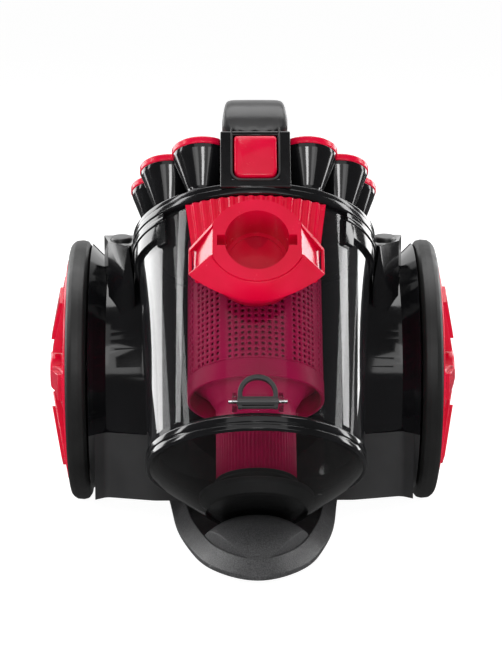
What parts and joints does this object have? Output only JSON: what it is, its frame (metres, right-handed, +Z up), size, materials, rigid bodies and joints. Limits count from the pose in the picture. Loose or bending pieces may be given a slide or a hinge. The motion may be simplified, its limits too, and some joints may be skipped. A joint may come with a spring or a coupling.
{
  "type": "canister vacuum cleaner",
  "caption": "Bagless canister vacuum cleaner: tilted clear dust bin with a cyclone crown and lift-off handle, drum body between large wheels, swivel front caster.",
  "frame": {"origin": "on the floor, below the middle of the machine's length and width", "axes": "+Z up; +Y to the rear, where the exhaust and cord outlet are; +X to the machine's own left-hand side, which is on the right when seen from the front"},
  "size_m": [0.295, 0.35, 0.2996],
  "materials": {
    "body_gloss": "polished injection-moulded black plastic",
    "black_satin": "satin dark grey plastic",
    "bumper_grey": "fine textured dark grey plastic",
    "red_gloss": "polished crimson plastic",
    "shroud_red": "semi-gloss dark red plastic",
    "clear_smoke": "clear polycarbonate, lightly smoked",
    "lid_smoke": "smoked clear polycarbonate",
    "tyre_rubber": "soft matte rubber",
    "seal_rubber": "soft black rubber",
    "steel": "ground steel",
    "motor_metal": "pressed aluminium",
    "filter_media": "pleated filter fleece",
    "board_green": "printed circuit board"
  },
  "bodies": {
    "chassis": {"lower_shell": "black_satin", "upper_shell": "body_gloss", "front_bumper": "bumper_grey", "chin_tray": "body_gloss", "left_shoulder": "body_gloss", "right_shoulder": "body_gloss", "power_button_spring": "steel", "rewind_button_spring": "steel", "body_screws": "steel", "duct_seals": "seal_rubber", "left_axle": "steel", "right_axle": "steel", "motor_can": "motor_metal", "fan_housing": "black_satin", "motor_bracket": "black_satin", "motor_mount_ring": "seal_rubber", "exhaust_filter": "filter_media", "reel_bracket": "black_satin", "control_board": "board_green", "cord_outlet": "black_satin", "door_hinge_pin": "steel"},
    "rotor": {"motor_armature": "steel", "fan_impeller": "motor_metal"},
    "reel": {"cord_reel": "black_satin"},
    "left_wheel": {"left_tyre": "tyre_rubber", "left_wheel_disc": "black_satin", "left_hub_cap": "red_gloss"},
    "right_wheel": {"right_tyre": "tyre_rubber", "right_wheel_disc": "black_satin", "right_hub_cap": "red_gloss"},
    "caster": {"caster_fork": "black_satin", "caster_axle": "steel"},
    "caster_roller": {"caster_wheel": "black_satin"},
    "power_key": {"power_button": "body_gloss"},
    "rewind_key": {"rewind_button": "body_gloss"},
    "filter_door": {"exhaust_door": "body_gloss"},
    "bin": {"bin_tube": "clear_smoke", "bin_collar": "body_gloss", "inlet_port": "red_gloss", "cyclone_body": "body_gloss", "cyclone_cover": "red_gloss", "shroud_filter": "shroud_red", "dust_collector_tube": "shroud_red", "collector_flare": "shroud_red", "collector_seal": "seal_rubber", "deck_gasket": "seal_rubber", "handle_front_post": "body_gloss", "handle_rear_post": "body_gloss", "handle_grip": "black_satin", "latch_pin": "steel", "lid_hinge_pin": "steel"},
    "release_key": {"release_button": "red_gloss"},
    "bin_lid": {"lid_cone": "lid_smoke", "lid_ring": "body_gloss", "lid_seal": "seal_rubber"},
    "latch": {"bin_latch": "clear_smoke"}
  },
  "joints": [
    {"name": "left_wheel_spin", "type": "hinge", "parent": "chassis", "child": "left_wheel", "pos_m": [0.125, 0.067, 0.0948], "axis": [1, 0, 0], "continuous": true},
    {"name": "right_wheel_spin", "type": "hinge", "parent": "chassis", "child": "right_wheel", "pos_m": [-0.125, 0.067, 0.0948], "axis": [1, 0, 0], "continuous": true},
    {"name": "caster_swivel", "type": "hinge", "parent": "chassis", "child": "caster", "pos_m": [0, -0.131, 0.028], "axis": [0, 0, 1], "continuous": true},
    {"name": "caster_roll", "type": "hinge", "parent": "caster", "child": "caster_roller", "pos_m": [0, -0.125, 0.01], "axis": [1, 0, 0], "continuous": true},
    {"name": "motor_spin", "type": "hinge", "parent": "chassis", "child": "rotor", "pos_m": [-0.04, 0.091, 0.098], "axis": [1, 0, 0], "continuous": true},
    {"name": "reel_spin", "type": "hinge", "parent": "chassis", "child": "reel", "pos_m": [0.057, 0.097, 0.097], "axis": [1, 0, 0], "continuous": true},
    {"name": "power_press", "type": "slide", "parent": "chassis", "child": "power_key", "axis": [0, 0, -1], "range_m": [0, 0.003], "stiffness_N_per_m": 500, "springref_m": -0.001, "deforming": ["power_button_spring"]},
    {"name": "rewind_press", "type": "slide", "parent": "chassis", "child": "rewind_key", "axis": [0, 0, -1], "range_m": [0, 0.003], "stiffness_N_per_m": 500, "springref_m": -0.001, "deforming": ["rewind_button_spring"]},
    {"name": "filter_door_hinge", "type": "hinge", "parent": "chassis", "child": "filter_door", "pos_m": [0, 0.1685, 0.1155], "axis": [1, 0, 0], "range_deg": [0, 75]},
    {"name": "bin_lift", "type": "slide", "parent": "chassis", "child": "bin", "axis": [0, 0.5664, 0.8241], "range_m": [0, 0.36]},
    {"name": "release_press", "type": "slide", "parent": "bin", "child": "release_key", "axis": [0, 0.8241, -0.5664], "range_m": [0, 0.0035], "stiffness_N_per_m": 500, "springref_m": -0.001},
    {"name": "lid_hinge", "type": "hinge", "parent": "bin", "child": "bin_lid", "pos_m": [0, -0.02834, 0.02572], "axis": [1, 0, 0], "range_deg": [0, 65]},
    {"name": "latch_pull", "type": "hinge", "parent": "bin", "child": "latch", "pos_m": [0, -0.15338, 0.11833], "axis": [1, 0, 0], "range_deg": [0, 25], "stiffness_Nm_per_rad": 0.05, "springref_deg": -11.46}
  ],
  "couplings": [
    {"joint": "lid_hinge", "follows": "bin_lift", "rad_per_m": 3.0058}
  ]
}
